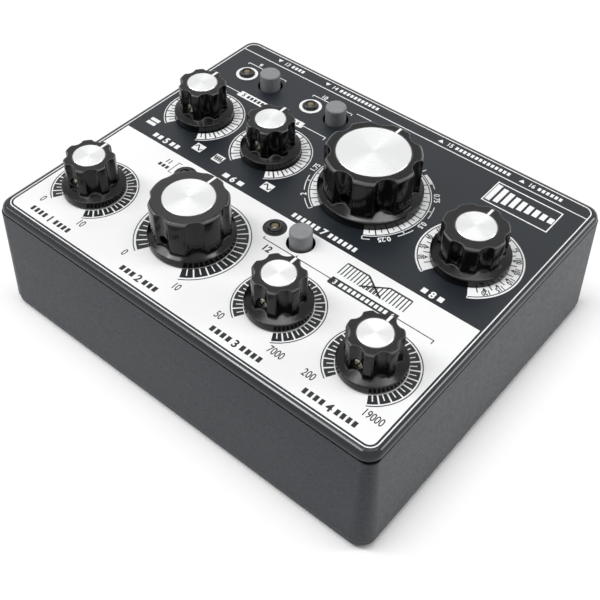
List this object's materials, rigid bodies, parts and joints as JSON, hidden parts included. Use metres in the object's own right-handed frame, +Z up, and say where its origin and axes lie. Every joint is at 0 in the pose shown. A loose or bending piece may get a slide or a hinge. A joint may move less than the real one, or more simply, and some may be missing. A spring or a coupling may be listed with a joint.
{
  "type": "digital echo unit",
  "caption": "Desktop echo effects unit: low rounded metal case with fluted skirted knobs, push buttons, indicator lamps and a rear row of sockets.",
  "frame": {"origin": "middle of the footprint, on the surface that the feet stand on", "axes": "+X to the right along the front edge, +Y to the rear wall with the sockets, +Z up"},
  "size_m": [0.1474, 0.1236, 0.059],
  "materials": {
    "panel": "dark grey powder coat with a screen-printed front",
    "case": "dark grey powder coat, fine grain",
    "rubber": "matt",
    "dark_steel": "blackened",
    "steel": "satin",
    "plated": "bright plating",
    "board": "solder mask",
    "chip": "moulded",
    "black_plastic": "moulded",
    "black_gloss": "polished",
    "lamp": "clear tinted resin, unlit",
    "wire": "insulation",
    "knob": "polished moulding",
    "inlay": "spun",
    "brass": "turned",
    "shaft": "turned",
    "button": "matt moulding",
    "plunger": "moulded"
  },
  "bodies": {
    "case": {"lid": "panel", "body": "case", "base": "case", "feet": "rubber", "case_screws": "dark_steel", "circuit_board": "board", "board_screws": "steel", "chips": "chip", "pot_bodies": "steel", "pot_washers": "plated", "pot_nuts": "plated", "switch_bodies": "black_plastic", "lamp_holders": "black_gloss", "lamps": "lamp", "input_jack": "black_plastic", "mix_jack": "black_plastic", "output_jack": "black_plastic", "jack_nuts": "plated", "power_inlet": "black_plastic", "inlet_nut": "black_plastic", "wires": "wire"},
    "feedback_control": {"feedback_knob": "knob", "feedback_inlay": "inlay", "feedback_insert": "brass", "feedback_shaft": "shaft"},
    "volume_control": {"volume_knob": "knob", "volume_inlay": "inlay", "volume_insert": "brass", "volume_shaft": "shaft"},
    "high_pass_control": {"high_pass_knob": "knob", "high_pass_inlay": "inlay", "high_pass_insert": "brass", "high_pass_shaft": "shaft"},
    "low_pass_control": {"low_pass_knob": "knob", "low_pass_inlay": "inlay", "low_pass_insert": "brass", "low_pass_shaft": "shaft"},
    "depth_control": {"depth_knob": "knob", "depth_inlay": "inlay", "depth_insert": "brass", "depth_shaft": "shaft"},
    "rate_control": {"rate_knob": "knob", "rate_inlay": "inlay", "rate_insert": "brass", "rate_shaft": "shaft"},
    "beat_control": {"beat_knob": "knob", "beat_inlay": "inlay", "beat_insert": "brass", "beat_shaft": "shaft"},
    "tempo_control": {"tempo_knob": "knob", "tempo_inlay": "inlay", "tempo_insert": "brass", "tempo_shaft": "shaft"},
    "loop_push": {"loop_button": "button", "loop_plunger": "plunger"},
    "step_push": {"step_button": "button", "step_plunger": "plunger"},
    "mute_push": {"mute_button": "button", "mute_plunger": "plunger"}
  },
  "joints": [
    {"name": "feedback_turn", "type": "hinge", "parent": "case", "child": "feedback_control", "pos_m": [-0.0534, -0.0349, 0.0423], "axis": [0, 0, 1], "range_deg": [-150, 150]},
    {"name": "volume_turn", "type": "hinge", "parent": "case", "child": "volume_control", "pos_m": [-0.0157, -0.0308, 0.0423], "axis": [0, 0, 1], "range_deg": [-150, 150]},
    {"name": "high_pass_turn", "type": "hinge", "parent": "case", "child": "high_pass_control", "pos_m": [0.0213, -0.0349, 0.0423], "axis": [0, 0, 1], "range_deg": [-150, 150]},
    {"name": "low_pass_turn", "type": "hinge", "parent": "case", "child": "low_pass_control", "pos_m": [0.0534, -0.0349, 0.0423], "axis": [0, 0, 1], "range_deg": [-150, 150]},
    {"name": "depth_turn", "type": "hinge", "parent": "case", "child": "depth_control", "pos_m": [-0.0532, 0.0139, 0.0423], "axis": [0, 0, 1], "range_deg": [-150, 150]},
    {"name": "rate_turn", "type": "hinge", "parent": "case", "child": "rate_control", "pos_m": [-0.0239, 0.0139, 0.0423], "axis": [0, 0, 1], "range_deg": [-150, 150]},
    {"name": "beat_turn", "type": "hinge", "parent": "case", "child": "beat_control", "pos_m": [0.0125, 0.0186, 0.0423], "axis": [0, 0, 1], "range_deg": [-150, 150]},
    {"name": "tempo_turn", "type": "hinge", "parent": "case", "child": "tempo_control", "pos_m": [0.0515, 0.015, 0.0423], "axis": [0, 0, 1], "range_deg": [-150, 150]},
    {"name": "loop_press", "type": "slide", "parent": "case", "child": "loop_push", "axis": [0, 0, -1], "range_m": [0, 0.002], "stiffness_N_per_m": 500, "springref_m": -0.0005},
    {"name": "step_press", "type": "slide", "parent": "case", "child": "step_push", "axis": [0, 0, -1], "range_m": [0, 0.002], "stiffness_N_per_m": 500, "springref_m": -0.0005},
    {"name": "mute_press", "type": "slide", "parent": "case", "child": "mute_push", "axis": [0, 0, -1], "range_m": [0, 0.002], "stiffness_N_per_m": 500, "springref_m": -0.0005}
  ]
}
